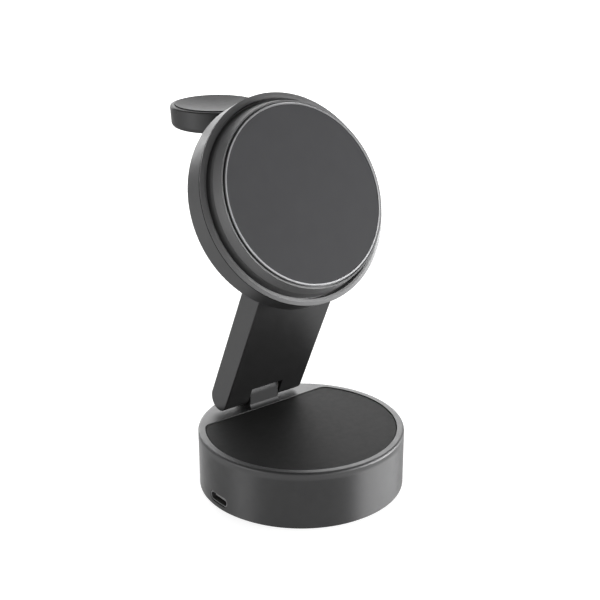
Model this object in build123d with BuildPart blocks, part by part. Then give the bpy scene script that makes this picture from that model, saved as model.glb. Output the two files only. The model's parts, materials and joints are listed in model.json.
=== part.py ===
"""Three-in-one wireless charger that folds like a Z.

A round weighted base carries the earbud pad, a flat arm leans forward from a hinge at
the back of the base, and a round phone head tilts back on the arm's upper hinge. A
watch puck swings out of a pocket in the head's back and stands level behind it.

Units are millimetres and degrees. The origin is on the table under the middle of the
base, +Z is up, -Y is the front that the pads face, and +X is the right-hand side.
"""

from build123d import *
import os
from math import cos, radians, sin

os.makedirs("parts", exist_ok=True)

# Fits and clearances
slip = 0.15            # round a piece laid in its recess
seat = 0.01            # round a pin, screw or ring fixed in its place
running = 0.05         # round a shaft that turns in its hole
swing = 0.4            # round the puck and its tongue in their pocket

# Base shell
base_diameter = 68.0
base_top = 20.1        # rim above the table
base_wall = 1.6
base_plate = 2.2       # thickness of the shell's top
base_round = 0.9       # round on the rim's outer edge
base_lift = 0.9        # shell's lower edge above the table
tower_inset = 5.4      # screw towers' middles inside the shell's outer face
tower_radius = 2.8
tower_height = 4.6
tower_count = 3
tower_turn = 30.0

# Earbud pad, its coil and its ferrite
pad_rim = 2.5          # metal rim round the pad
pad_corner = 3.0
pad_thickness = 1.0
pad_sink = 0.2         # pad's face below the rim
pad_ledge = 1.6
pad_edge = 0.25
earbud_coil_inset = 2.7  # coil's edge inside the opening under the pad
earbud_coil_bore = 15.0
earbud_coil_thickness = 1.2
ferrite_thickness = 0.6
ferrite_margin = 1.0   # ferrite beyond its coil

# Bottom cover, foot, weight and screws
cover_reveal = 0.7     # cover's edge inside the shell's outer face
cover_top = 2.2        # cover's inner face above the table
foot_thickness = 1.0
foot_stand = 0.4       # foot below the cover
foot_margin = 2.8      # foot's edge inside the cover's
weight_bottom = 8.0
weight_thickness = 4.0
weight_bore = 12.0
cover_screw_radius = 1.0
cover_screw_bite = 3.4
cover_screw_head_radius = 1.7
cover_screw_head = 1.0

# Circuit board of the base and its USB-C socket in the left-hand wall
board_thickness = 1.0
board_rise = 0.7       # board above the cover
board_length = 30.0
board_side_gap = 1.5   # board's sides clear of the screw posts
board_end_gap = 2.8    # board's outer end clear of the shell's wall
board_peg_radius = 1.3
board_peg_inset = 2.6
usb_height = 4.0       # middle of the socket above the table
usb_width = 8.94
usb_thickness = 3.16
usb_wall = 0.3
usb_depth = 7.3
usb_inset = 0.4        # socket's mouth inside the shell's outer face
usb_plug_back = 1.6    # moulding that fills the socket's back
usb_tongue_width = 6.7
usb_tongue_thickness = 0.7
usb_tongue_length = 4.6
usb_tab_width = 1.2
usb_tab_length = 2.0

# Arm
arm_width = 32.2
arm_thickness = 8.6
arm_edge = 0.4
arm_front_wall = 1.6
arm_cover_thickness = 1.0
arm_cover_margin = 1.8
arm_cover_corner = 2.0
arm_cover_ledge = 1.2
cable_width = 8.0
cable_thickness = 0.3

# Friction hinges, the same at both ends of the arm
hinge_inset = 9.7      # axis in from the edge of the base, and of the head
fold_gap = 0.9         # air between arm and base when folded flat
lug_width = 12.0
lug_radius = 4.0
lug_side_gap = 0.45
lug_tip_gap = 1.1      # bottom of the arm's notch clear of the lug
lug_flare = 1.1
lug_flare_height = 2.4
lug_edge = 0.35
shaft_radius = 1.5
sleeve_radius = 2.6
shaft_plug = 2.2       # plug that closes the shaft's hole in the arm
washer_radius = 3.4
washer_thickness = 0.4
tenon_length = 8.0
tenon_width = 4.0
clamp_length = 12.0
clamp_width = 5.6
clamp_thickness = 1.0
hinge_screw_radius = 0.8
hinge_screw_bite = 2.0
hinge_screw_head_radius = 1.5
hinge_screw_head = 1.0
hinge_screw_spacing = 5.2

# Phone pad and its metal ring on the head
phone_pad_diameter = 56.0
phone_pad_thickness = 0.9
phone_pad_sink = 0.08  # pad's face below the ring
trim_width = 0.62
trim_height = 1.2
trim_edge = 0.16

# Head housings
head_side = 7.7        # side wall, from the flat back to the parting line
head_wall = 1.6
head_back = 1.2
head_back_round = 0.8
parting_gap = 0.14
parting_depth = 0.3
ring_width = 1.9       # front ring, from the head's outer face to the groove
ring_crest = 0.8       # ring's flat face beyond the parting line
ring_bevel = 1.1
ring_bevel_foot = 0.35
groove_flank = 0.4     # slope of the ring's inner side
groove_width = 0.3
groove_sink = 0.7      # groove's bottom behind the parting line
cove_width = 0.65      # hollow curve at the foot of the raised disc
cove_height = 3.0
disc_taper = 0.95
disc_lip = 0.45        # metal lip round the disc's edge
disc_lip_drop = 0.6    # lip behind the trim ring's face
trim_gap = 0.43        # narrow groove between the lip and the trim ring
trim_gap_depth = 0.45
disc_inner_wall = 1.65
front_plate = 1.15
spigot_depth = 1.4

# Charging parts inside the head
phone_coil_gap = 2.4   # coil's edge inside the magnets
phone_coil_bore = 18.0
phone_coil_thickness = 1.5
magnet_ring_gap = 0.85  # magnets inside the raised disc's wall
magnet_ring_width = 3.6
magnet_thickness = 1.5
magnet_count = 16
magnet_gap = 1.6
shunt_thickness = 0.4
head_board_space = 1.4
head_board_inset = 0.95  # board's edge inside the outside of the pocket's wall

# Watch puck
puck_diameter = 30.3
puck_thickness = 7.0
puck_taper = 0.4       # bottom's radius less than the top's
puck_round = 1.6
puck_rim = 1.5
puck_rim_round = 0.55
puck_ledge = 1.0
puck_floor = 1.0
puck_sink = 0.5        # puck's rim below the head's back when folded in
dish_gap = 0.18        # groove between the dish and the rim
dish_gap_depth = 0.5
dish_depth = 1.0
dish_stand = 0.35      # dish's edge above the rim
dish_thickness = 1.2   # at the middle
watch_coil_gap = 1.15  # coil's edge inside the puck's inner wall
watch_coil_thickness = 1.3
watch_magnet_diameter = 10.0
watch_magnet_height = 2.2
watch_board_gap = 1.65
watch_board_thickness = 0.8
light_radius = 0.35
light_drop = 0.95      # indicator light below the puck's rim

# Puck's hinge and its pocket in the head's back
watch_hinge_inset = 8.22  # small hinge in from the edge of the head
tongue_width = 12.0
tongue_thickness = 4.0
tongue_drop = 0.23     # tongue's upper side below the puck's rim
watch_pin_radius = 0.8
ear_thickness = 2.0
pocket_wall = 0.9
pocket_floor = 0.7
pocket_air = 0.2       # under the folded puck

# Pose in the photograph
arm_lean = 24.4        # forward from upright
head_tilt = 26.2       # face turned up from upright

# Sizes that follow
base_radius = base_diameter / 2
cavity_radius = base_radius - base_wall
cover_radius = base_radius - cover_reveal
tower_reach = base_radius - tower_inset
weight_top = weight_bottom + weight_thickness
board_bottom = cover_top + board_rise
board_top = board_bottom + board_thickness
board_end = cavity_radius - board_end_gap
board_width = 2 * (tower_reach * sin(radians(tower_turn)) - tower_radius - board_side_gap)
hinge_radius = arm_thickness / 2
hinge_rise = hinge_radius + fold_gap
hinge_offset = base_radius - hinge_inset
notch_width = lug_width + 2 * lug_side_gap
notch_depth = lug_radius + lug_tip_gap
pad_radius = base_radius - pad_rim
pad_chord = hinge_offset - lug_radius - lug_flare
pad_middle = (pad_chord - pad_radius) / 2
earbud_coil_radius = (pad_chord + pad_radius) / 2 - pad_ledge - earbud_coil_inset
pad_floor = base_top - pad_sink - pad_thickness
coil_bottom = pad_floor - earbud_coil_thickness
phone_pad_radius = phone_pad_diameter / 2
trim_radius = phone_pad_radius + trim_width
lip_radius = trim_radius + trim_gap
disc_radius = lip_radius + disc_lip
disc_foot_radius = disc_radius + disc_taper
groove_inner = disc_foot_radius + cove_width
groove_outer = groove_inner + groove_width
head_radius = groove_outer + groove_flank + ring_width
head_hinge_offset = head_radius - hinge_inset
arm_length = hinge_offset + head_hinge_offset
pocket_depth = puck_thickness + puck_sink + pocket_air
pocket_back = pocket_depth + pocket_floor
ferrite_back = pocket_back + head_board_space
coil_back = ferrite_back + ferrite_thickness
plate_back = coil_back + phone_coil_thickness
pad_seat = plate_back + front_plate
head_front = pad_seat + phone_pad_thickness + phone_pad_sink
lip_height = head_front - disc_lip_drop
crest_height = head_side + ring_crest
groove_height = head_side - groove_sink
disc_inner_radius = disc_radius - disc_inner_wall
magnet_outer = disc_inner_radius - magnet_ring_gap
magnet_inner = magnet_outer - magnet_ring_width
phone_coil_radius = magnet_inner - phone_coil_gap
spigot_radius = head_radius - head_wall - slip
puck_radius = puck_diameter / 2
pocket_radius = puck_radius + swing
tongue_half = tongue_thickness / 2
tongue_rise = tongue_half + tongue_drop
watch_reach = head_radius - watch_hinge_inset
watch_axis_depth = tongue_rise + puck_sink
slot_width = tongue_width + 2 * swing
slot_depth = watch_axis_depth + tongue_half + swing
slot_reach = (watch_axis_depth * sin(radians(head_tilt)) + tongue_half) / cos(radians(head_tilt))
slot_end = watch_reach + slot_reach + swing
dish_bore = puck_radius - puck_rim
dish_radius = dish_bore - dish_gap
dish_edge = puck_thickness + dish_stand
dish_middle = dish_edge - dish_depth
dish_bottom = dish_middle - dish_thickness
puck_inner_radius = dish_bore - puck_ledge
watch_coil_radius = puck_inner_radius - watch_coil_gap
magnet_hole = watch_magnet_diameter / 2 + slip

# Directions and hinge points in the side view
right = Vector(1, 0, 0)
arm_up = Vector(0, -sin(radians(arm_lean)), cos(radians(arm_lean)))
arm_rear = Vector(0, cos(radians(arm_lean)), sin(radians(arm_lean)))
head_up = Vector(0, sin(radians(head_tilt)), cos(radians(head_tilt)))
head_normal = Vector(0, -cos(radians(head_tilt)), sin(radians(head_tilt)))
lower_axis = Vector(0, hinge_offset, base_top + hinge_rise)
upper_axis = lower_axis + arm_up * arm_length
head_centre = upper_axis + head_normal * hinge_rise + head_up * head_hinge_offset
watch_axis = head_centre + head_up * watch_reach + head_normal * watch_axis_depth
puck_top = watch_axis + Vector(0, watch_reach, tongue_rise)
puck_base = puck_top - Vector(0, 0, puck_thickness)

# Planes that the pieces are drawn on
arm_side = Plane(origin=lower_axis, x_dir=arm_rear, z_dir=right)
arm_face = Plane(origin=lower_axis, x_dir=right, z_dir=-arm_rear)
head_plane = Plane(origin=head_centre, x_dir=right, z_dir=head_normal)
head_section = Plane(origin=head_centre, x_dir=right, z_dir=-head_up)
head_axis = Axis(head_centre, head_normal)
puck_plane = Plane(origin=puck_base, x_dir=right, z_dir=(0, 0, 1))
puck_section = Plane(origin=puck_base, x_dir=right, z_dir=(0, -1, 0))
puck_side = Plane(origin=puck_base, x_dir=(0, 1, 0), z_dir=right)
puck_axis = Axis(puck_base, (0, 0, 1))
base_seat = Plane(origin=(0, hinge_offset, base_top), x_dir=right, z_dir=(0, 0, 1))
head_seat = Plane(origin=head_centre - head_up * head_hinge_offset, x_dir=right, z_dir=-head_normal)


def pad_shape(height, shrink):
    """Gives the pad's D shape at a height, drawn in by shrink all round."""
    radius = pad_radius - shrink
    with BuildSketch(Plane.XY.offset(height)) as outline:
        Circle(radius)
        with Locations((0, pad_chord - shrink + radius)):
            Rectangle(2 * radius, 2 * radius, mode=Mode.SUBTRACT)
        fillet(outline.vertices().sort_by(Axis.Y)[-2:], max(pad_corner - shrink, slip))
    return outline.sketch


def ring_shape(plane, outer, bore):
    """Gives a flat ring on a plane."""
    with BuildSketch(plane) as ring:
        Circle(outer)
        Circle(bore, mode=Mode.SUBTRACT)
    return ring.sketch


# Base shell: a cup turned upside down, open under the pad, with towers for the screws
with BuildPart() as base_shell:
    with BuildSketch(Plane.XY.offset(base_lift)):
        Circle(base_radius)
    extrude(amount=base_top - base_lift)
    rim = base_shell.edges().filter_by(GeomType.CIRCLE).sort_by(Axis.Z)
    fillet(rim[-1], base_round)
    with BuildSketch(Plane.XY.offset(base_lift)):
        Circle(cavity_radius)
    extrude(amount=base_top - base_plate - base_lift, mode=Mode.SUBTRACT)
    with BuildSketch(Plane.XY.offset(weight_top)):
        with PolarLocations(tower_reach, tower_count, tower_turn):
            Circle(tower_radius)
            with Locations(((tower_inset - base_wall) / 2, 0)):
                Rectangle(tower_inset - base_wall + slip, 2 * tower_radius)
    extrude(amount=tower_height)
    with BuildSketch(Plane.XY.offset(weight_top)):
        with PolarLocations(tower_reach, tower_count, tower_turn):
            Circle(cover_screw_radius + seat)
    extrude(amount=cover_screw_bite + slip, mode=Mode.SUBTRACT)
    extrude(pad_shape(base_top, -slip), amount=-(pad_sink + pad_thickness), mode=Mode.SUBTRACT)
    extrude(pad_shape(base_top, pad_ledge), amount=-base_plate, mode=Mode.SUBTRACT)
    with BuildSketch(base_seat):
        Rectangle(tenon_length + 2 * seat, tenon_width + 2 * seat)
    extrude(amount=-base_plate, mode=Mode.SUBTRACT)
    with BuildSketch(Plane.YZ.offset(-base_radius)):
        with Locations((0, usb_height)):
            SlotOverall(usb_width + 2 * slip, usb_thickness + 2 * slip)
    extrude(amount=2 * base_wall, mode=Mode.SUBTRACT)
base_shell.part.label = "base_shell"
export_step(base_shell.part, "parts/base_shell.step")

# Earbud pad: a soft-touch plate laid in the shell's recess
with BuildPart() as earbud_pad:
    extrude(pad_shape(pad_floor, 0), amount=pad_thickness)
    fillet(earbud_pad.faces().sort_by(Axis.Z)[-1].edges(), pad_edge)
earbud_pad.part.label = "earbud_pad"
export_step(earbud_pad.part, "parts/earbud_pad.step")

# Earbud coil: a flat winding glued under the pad
with BuildPart() as earbud_coil:
    coil_plane = Plane(origin=(0, pad_middle, coil_bottom))
    winding = ring_shape(coil_plane, earbud_coil_radius, earbud_coil_bore / 2)
    extrude(winding, amount=earbud_coil_thickness)
earbud_coil.part.label = "earbud_coil"
export_step(earbud_coil.part, "parts/earbud_coil.step")

# Earbud ferrite: a sheet under the coil that keeps its field off the metal below
with BuildPart() as earbud_ferrite:
    with BuildSketch(Plane(origin=(0, pad_middle, coil_bottom))):
        Circle(earbud_coil_radius + ferrite_margin)
    extrude(amount=-ferrite_thickness)
earbud_ferrite.part.label = "earbud_ferrite"
export_step(earbud_ferrite.part, "parts/earbud_ferrite.step")

# Base weight: a steel disc clamped between the cover's posts and the shell's towers
with BuildPart() as base_weight:
    disc = ring_shape(Plane.XY.offset(weight_bottom), cavity_radius - 2 * slip, weight_bore / 2)
    extrude(disc, amount=weight_thickness)
    with BuildSketch(Plane.XY.offset(weight_bottom)):
        with PolarLocations(tower_reach, tower_count, tower_turn):
            Circle(cover_screw_radius + slip)
    extrude(amount=weight_thickness, mode=Mode.SUBTRACT)
base_weight.part.label = "base_weight"
export_step(base_weight.part, "parts/base_weight.step")

# Bottom cover: a flanged lid with posts for the weight and pegs for the board
with BuildPart() as bottom_cover:
    with BuildSketch(Plane.XY.offset(foot_stand)):
        Circle(cover_radius)
    extrude(amount=base_lift - foot_stand)
    with BuildSketch(Plane.XY.offset(base_lift)):
        Circle(cavity_radius - slip)
    extrude(amount=cover_top - base_lift)
    with BuildSketch(Plane.XY.offset(cover_top)):
        with PolarLocations(tower_reach, tower_count, tower_turn):
            Circle(tower_radius)
    extrude(amount=weight_bottom - cover_top)
    with BuildSketch(Plane.XY.offset(cover_top)):
        with Locations((board_length / 2 - board_end, 0)):
            with GridLocations(board_length - 2 * board_peg_inset, board_width - 2 * board_peg_inset, 2, 2):
                Circle(board_peg_radius)
    extrude(amount=board_rise)
    with BuildSketch(Plane.XY.offset(foot_stand)):
        Circle(cover_radius - foot_margin + slip)
    extrude(amount=foot_thickness - foot_stand, mode=Mode.SUBTRACT)
    with BuildSketch(Plane.XY.offset(foot_thickness)):
        with PolarLocations(tower_reach, tower_count, tower_turn):
            Circle(cover_screw_head_radius + slip)
    extrude(amount=cover_screw_head, mode=Mode.SUBTRACT)
    with BuildSketch(Plane.XY.offset(foot_thickness)):
        with PolarLocations(tower_reach, tower_count, tower_turn):
            Circle(cover_screw_radius + slip)
    extrude(amount=weight_bottom - foot_thickness, mode=Mode.SUBTRACT)
bottom_cover.part.label = "bottom_cover"
export_step(bottom_cover.part, "parts/bottom_cover.step")

# Rubber foot: a disc glued in the cover's recess, over the screws
with BuildPart() as rubber_foot:
    with BuildSketch(Plane.XY):
        Circle(cover_radius - foot_margin)
    extrude(amount=foot_thickness)
    chamfer(rubber_foot.edges().sort_by(Axis.Z)[0], foot_stand / 2)
rubber_foot.part.label = "rubber_foot"
export_step(rubber_foot.part, "parts/rubber_foot.step")

# Bottom screws: each clamps the cover's post, the weight and a tower of the shell
with BuildPart() as bottom_screws:
    with BuildSketch(Plane.XY.offset(foot_thickness)):
        with PolarLocations(tower_reach, tower_count, tower_turn):
            Circle(cover_screw_head_radius)
    extrude(amount=cover_screw_head)
    with BuildSketch(Plane.XY.offset(foot_thickness)):
        with PolarLocations(tower_reach, tower_count, tower_turn):
            Circle(cover_screw_radius)
    extrude(amount=weight_top + cover_screw_bite - foot_thickness)
bottom_screws.part.label = "bottom_screws"
export_step(bottom_screws.part, "parts/bottom_screws.step")

# Base circuit board: stands on the cover's pegs, notched round the socket
with BuildPart() as base_circuit_board:
    with BuildSketch(Plane.XY.offset(board_bottom)):
        with Locations((board_length / 2 - board_end, 0)):
            RectangleRounded(board_length, board_width, board_peg_radius)
        socket_back = base_radius - usb_inset - usb_depth - slip
        with Locations((-socket_back - usb_depth, 0)):
            Rectangle(2 * usb_depth, usb_width + 2 * slip, mode=Mode.SUBTRACT)
    extrude(amount=board_thickness)
base_circuit_board.part.label = "base_circuit_board"
export_step(base_circuit_board.part, "parts/base_circuit_board.step")

# USB-C socket: a folded steel tube with two tabs that lie on the board
with BuildPart() as usb_socket:
    mouth = Plane.YZ.offset(usb_inset - base_radius)
    with BuildSketch(mouth):
        with Locations((0, usb_height)):
            SlotOverall(usb_width, usb_thickness)
    extrude(amount=usb_depth)
    tab_middle = -base_radius + usb_inset + usb_depth - usb_tab_length / 2
    with BuildSketch(Plane.XY.offset(board_top)):
        with Locations((tab_middle, 0)):
            Rectangle(usb_tab_length, usb_width + 2 * usb_tab_width)
    extrude(amount=usb_wall)
    with BuildSketch(mouth):
        with Locations((0, usb_height)):
            SlotOverall(usb_width - 2 * usb_wall, usb_thickness - 2 * usb_wall)
    extrude(amount=usb_depth, mode=Mode.SUBTRACT)
usb_socket.part.label = "usb_socket"
export_step(usb_socket.part, "parts/usb_socket.step")

# USB-C tongue: the moulding that fills the socket's back and carries the contacts
with BuildPart() as usb_tongue:
    with BuildSketch(mouth.offset(usb_depth - usb_plug_back)):
        with Locations((0, usb_height)):
            SlotOverall(usb_width - 2 * usb_wall, usb_thickness - 2 * usb_wall)
    extrude(amount=usb_plug_back)
    with BuildSketch(mouth.offset(usb_depth - usb_plug_back)):
        with Locations((0, usb_height)):
            Rectangle(usb_tongue_width, usb_tongue_thickness)
    extrude(amount=-usb_tongue_length)
usb_tongue.part.label = "usb_tongue"
export_step(usb_tongue.part, "parts/usb_tongue.step")


def hinge_lug(place, plate):
    """Builds a hinge lug that stands on a plate, with a tenon through it."""
    side = Plane(origin=place.origin, x_dir=-place.y_dir, z_dir=-place.x_dir)
    toe = lug_radius + lug_flare
    bend_out = toe - lug_flare * cos(radians(45))
    bend_up = lug_flare_height * (1 - cos(radians(45)))
    with BuildPart() as lug:
        with BuildSketch(side):
            with Locations((0, hinge_rise / 2)):
                Rectangle(2 * lug_radius, hinge_rise)
            with Locations((0, hinge_rise)):
                Circle(lug_radius)
        extrude(amount=lug_width / 2, both=True)
        crown = lug.edges().filter_by(GeomType.CIRCLE)
        fillet(crown, lug_edge)
        with BuildSketch(side):
            with BuildLine():
                Line((-toe, 0), (toe, 0))
                ThreePointArc((toe, 0), (bend_out, bend_up), (lug_radius, lug_flare_height))
                Line((lug_radius, lug_flare_height), (-lug_radius, lug_flare_height))
                ThreePointArc((-lug_radius, lug_flare_height), (-bend_out, bend_up), (-toe, 0))
            make_face()
        extrude(amount=lug_width / 2, both=True)
        with BuildSketch(place):
            Rectangle(tenon_length, tenon_width)
        extrude(amount=-plate)
        with BuildSketch(side):
            with Locations((0, hinge_rise)):
                Circle(sleeve_radius + seat)
        extrude(amount=lug_width / 2, both=True, mode=Mode.SUBTRACT)
        with BuildSketch(place.offset(-plate)):
            with GridLocations(hinge_screw_spacing, 0, 2, 1):
                Circle(hinge_screw_radius + seat)
        extrude(amount=hinge_screw_bite, mode=Mode.SUBTRACT)
    return lug


def hinge_clamp(place, plate):
    """Builds the plate that clamps a lug's tenon from inside."""
    with BuildPart() as clamp:
        with BuildSketch(place.offset(-plate)):
            RectangleRounded(clamp_length, clamp_width, hinge_screw_radius)
            with GridLocations(hinge_screw_spacing, 0, 2, 1):
                Circle(hinge_screw_radius + seat, mode=Mode.SUBTRACT)
        extrude(amount=-clamp_thickness)
    return clamp


def hinge_screws(place, plate):
    """Builds the two screws that pull a lug onto its clamp."""
    with BuildPart() as screws:
        head_seat_plane = place.offset(-plate - clamp_thickness)
        with BuildSketch(head_seat_plane):
            with GridLocations(hinge_screw_spacing, 0, 2, 1):
                Circle(hinge_screw_head_radius)
        extrude(amount=-hinge_screw_head)
        with BuildSketch(head_seat_plane):
            with GridLocations(hinge_screw_spacing, 0, 2, 1):
                Circle(hinge_screw_radius)
        extrude(amount=clamp_thickness + hinge_screw_bite - slip)
    return screws


def hinge_sleeve(centre):
    """Builds the plain bearing pressed into a lug."""
    with BuildPart() as sleeve:
        tube = ring_shape(Plane(origin=centre, z_dir=right), sleeve_radius, shaft_radius + running)
        extrude(tube, amount=lug_width / 2, both=True)
    return sleeve


def hinge_shaft(centre):
    """Builds the steel shaft fixed in the arm's tines, closed by the plug on the right."""
    with BuildPart() as shaft:
        with BuildSketch(Plane(origin=centre, z_dir=right)):
            Circle(shaft_radius)
        extrude(amount=arm_width / 2 - shaft_plug, both=True)
    return shaft


def hinge_washers(centre):
    """Builds the two friction washers between a lug and the arm's tines."""
    with BuildPart() as washers:
        for side in (1, -1):
            face = Plane(origin=centre + right * side * notch_width / 2, z_dir=right * side)
            washer = ring_shape(face, washer_radius, shaft_radius + seat)
            extrude(washer, amount=-washer_thickness)
    return washers


# Base hinge: lug, sleeve, clamp and screws
base_hinge_lug = hinge_lug(base_seat, base_plate)
base_hinge_lug.part.label = "base_hinge_lug"
export_step(base_hinge_lug.part, "parts/base_hinge_lug.step")

base_hinge_sleeve = hinge_sleeve(lower_axis)
base_hinge_sleeve.part.label = "base_hinge_sleeve"
export_step(base_hinge_sleeve.part, "parts/base_hinge_sleeve.step")

base_hinge_clamp = hinge_clamp(base_seat, base_plate)
base_hinge_clamp.part.label = "base_hinge_clamp"
export_step(base_hinge_clamp.part, "parts/base_hinge_clamp.step")

base_hinge_screws = hinge_screws(base_seat, base_plate)
base_hinge_screws.part.label = "base_hinge_screws"
export_step(base_hinge_screws.part, "parts/base_hinge_screws.step")

# Arm shell: a flat bar with round ends, notched for the lugs and hollow at the back
with BuildPart() as arm_shell:
    with BuildSketch(arm_side):
        with Locations((0, arm_length / 2)):
            SlotCenterToCenter(arm_length, arm_thickness, rotation=90)
    extrude(amount=arm_width / 2, both=True)
    outline_edges = arm_shell.faces().filter_by(Axis.X).edges()
    fillet(outline_edges, arm_edge)
    with BuildSketch(arm_face):
        for end in (-hinge_radius, arm_length + hinge_radius):
            with Locations((0, end)):
                Rectangle(notch_width, 2 * (hinge_radius + notch_depth))
    extrude(amount=hinge_radius, both=True, mode=Mode.SUBTRACT)
    cover_length = arm_length - 2 * (notch_depth + arm_cover_margin)
    cover_width = arm_width - 2 * arm_cover_margin
    with BuildSketch(arm_face.offset(-hinge_radius)):
        with Locations((0, arm_length / 2)):
            RectangleRounded(cover_width + 2 * slip, cover_length + 2 * slip, arm_cover_corner)
    extrude(amount=arm_cover_thickness, mode=Mode.SUBTRACT)
    with BuildSketch(arm_face.offset(arm_cover_thickness - hinge_radius)):
        with Locations((0, arm_length / 2)):
            Rectangle(cover_width - 2 * arm_cover_ledge, cover_length - 2 * arm_cover_ledge)
    extrude(amount=arm_thickness - arm_cover_thickness - arm_front_wall, mode=Mode.SUBTRACT)
    for centre in (lower_axis, upper_axis):
        with BuildSketch(Plane(origin=centre, z_dir=right).offset(shaft_plug - arm_width / 2)):
            Circle(shaft_radius + seat)
        extrude(amount=arm_width, mode=Mode.SUBTRACT)
    with BuildSketch(arm_face):
        with Locations((0, arm_length / 2)):
            Rectangle(cable_width + 2 * slip, arm_length - 2 * notch_depth)
    extrude(amount=(cable_thickness + 2 * slip) / 2, both=True, mode=Mode.SUBTRACT)
arm_shell.part.label = "arm_shell"
export_step(arm_shell.part, "parts/arm_shell.step")

# Arm cover: the plate that closes the hollow at the arm's back
with BuildPart() as arm_cover:
    with BuildSketch(arm_face.offset(-hinge_radius)):
        with Locations((0, arm_length / 2)):
            RectangleRounded(cover_width, cover_length, arm_cover_corner)
    extrude(amount=arm_cover_thickness)
arm_cover.part.label = "arm_cover"
export_step(arm_cover.part, "parts/arm_cover.step")

# Arm cable: the flat cable that crosses the hollow arm from hinge to hinge
with BuildPart() as arm_cable:
    with BuildSketch(arm_face.offset(-cable_thickness / 2)):
        with Locations((0, arm_length / 2)):
            Rectangle(cable_width, arm_length - 2 * notch_depth - 2 * slip)
    extrude(amount=cable_thickness)
arm_cable.part.label = "arm_cable"
export_step(arm_cable.part, "parts/arm_cable.step")

# Hinge shafts and washers, fixed in the arm
lower_hinge_shaft = hinge_shaft(lower_axis)
lower_hinge_shaft.part.label = "lower_hinge_shaft"
export_step(lower_hinge_shaft.part, "parts/lower_hinge_shaft.step")

upper_hinge_shaft = hinge_shaft(upper_axis)
upper_hinge_shaft.part.label = "upper_hinge_shaft"
export_step(upper_hinge_shaft.part, "parts/upper_hinge_shaft.step")

lower_hinge_washers = hinge_washers(lower_axis)
lower_hinge_washers.part.label = "lower_hinge_washers"
export_step(lower_hinge_washers.part, "parts/lower_hinge_washers.step")

upper_hinge_washers = hinge_washers(upper_axis)
upper_hinge_washers.part.label = "upper_hinge_washers"
export_step(upper_hinge_washers.part, "parts/upper_hinge_washers.step")

# Shaft plugs: close the holes through which the shafts were pushed in
with BuildPart() as shaft_plugs:
    for centre in (lower_axis, upper_axis):
        with BuildSketch(Plane(origin=centre, z_dir=right).offset(arm_width / 2)):
            Circle(shaft_radius)
    extrude(amount=-shaft_plug)
shaft_plugs.part.label = "shaft_plugs"
export_step(shaft_plugs.part, "parts/shaft_plugs.step")

# Head hinge: the same lug turned round, under the head's back
head_hinge_lug = hinge_lug(head_seat, head_back)
head_hinge_lug.part.label = "head_hinge_lug"
export_step(head_hinge_lug.part, "parts/head_hinge_lug.step")

head_hinge_sleeve = hinge_sleeve(upper_axis)
head_hinge_sleeve.part.label = "head_hinge_sleeve"
export_step(head_hinge_sleeve.part, "parts/head_hinge_sleeve.step")

head_hinge_clamp = hinge_clamp(head_seat, head_back)
head_hinge_clamp.part.label = "head_hinge_clamp"
export_step(head_hinge_clamp.part, "parts/head_hinge_clamp.step")

head_hinge_screws = hinge_screws(head_seat, head_back)
head_hinge_screws.part.label = "head_hinge_screws"
export_step(head_hinge_screws.part, "parts/head_hinge_screws.step")

# Head rear housing: a shallow cup with the puck's pocket and the ears of its hinge
with BuildPart() as head_rear_housing:
    with BuildSketch(head_plane):
        Circle(head_radius)
    extrude(amount=head_side)
    back_edge = head_rear_housing.edges().filter_by(GeomType.CIRCLE).sort_by(head_axis)[0]
    fillet(back_edge, head_back_round)
    with BuildSketch(head_plane.offset(head_back)):
        Circle(head_radius - head_wall)
    extrude(amount=head_side - head_back, mode=Mode.SUBTRACT)
    with BuildSketch(head_plane.offset(head_back)):
        Circle(pocket_radius + pocket_wall)
    extrude(amount=pocket_back - head_back)
    with BuildSketch(head_plane.offset(head_back)):
        with Locations((0, (slot_end + pocket_wall) / 2)):
            Rectangle(slot_width + 2 * ear_thickness, slot_end + pocket_wall)
    extrude(amount=slot_depth + pocket_wall - head_back)
    with BuildSketch(head_plane):
        Circle(pocket_radius)
    extrude(amount=pocket_depth, mode=Mode.SUBTRACT)
    with BuildSketch(head_plane):
        with Locations((0, slot_end / 2)):
            Rectangle(slot_width, slot_end)
    extrude(amount=slot_depth, mode=Mode.SUBTRACT)
    with BuildSketch(Plane(origin=watch_axis, z_dir=right)):
        Circle(watch_pin_radius + seat)
    extrude(amount=slot_width / 2 + ear_thickness, both=True, mode=Mode.SUBTRACT)
    with BuildSketch(head_seat):
        Rectangle(tenon_length + 2 * seat, tenon_width + 2 * seat)
    extrude(amount=-head_back, mode=Mode.SUBTRACT)
head_rear_housing.part.label = "head_rear_housing"
export_step(head_rear_housing.part, "parts/head_rear_housing.step")

# Head front housing: the raised disc, its cove and the ring round it, turned in one piece
with BuildPart() as head_front_housing:
    with BuildSketch(head_section):
        with BuildLine():
            cove_top = (disc_foot_radius, groove_height + cove_height)
            cove_foot = (groove_inner, groove_height)
            Polyline(
                cove_foot,
                (groove_outer, groove_height),
                (head_radius - ring_width, crest_height),
                (head_radius - ring_bevel, crest_height),
                (head_radius, head_side + ring_bevel_foot),
                (head_radius, head_side + parting_gap),
                (head_radius - parting_depth, head_side + parting_gap),
                (head_radius - parting_depth, head_side),
                (spigot_radius, head_side),
                (spigot_radius, head_side - spigot_depth),
                (disc_inner_radius, head_side - spigot_depth),
                (disc_inner_radius, plate_back),
                (0, plate_back),
                (0, pad_seat),
                (phone_pad_radius, pad_seat),
                (phone_pad_radius, head_front - trim_height),
                (trim_radius + seat, head_front - trim_height),
                (trim_radius + seat, lip_height - trim_gap_depth),
                (lip_radius, lip_height - trim_gap_depth),
                (lip_radius, lip_height),
                (disc_radius, lip_height),
                cove_top,
            )
            TangentArc(cove_top, cove_foot, tangent=(0, -1))
        make_face()
    revolve(axis=head_axis)
head_front_housing.part.label = "head_front_housing"
export_step(head_front_housing.part, "parts/head_front_housing.step")

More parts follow.
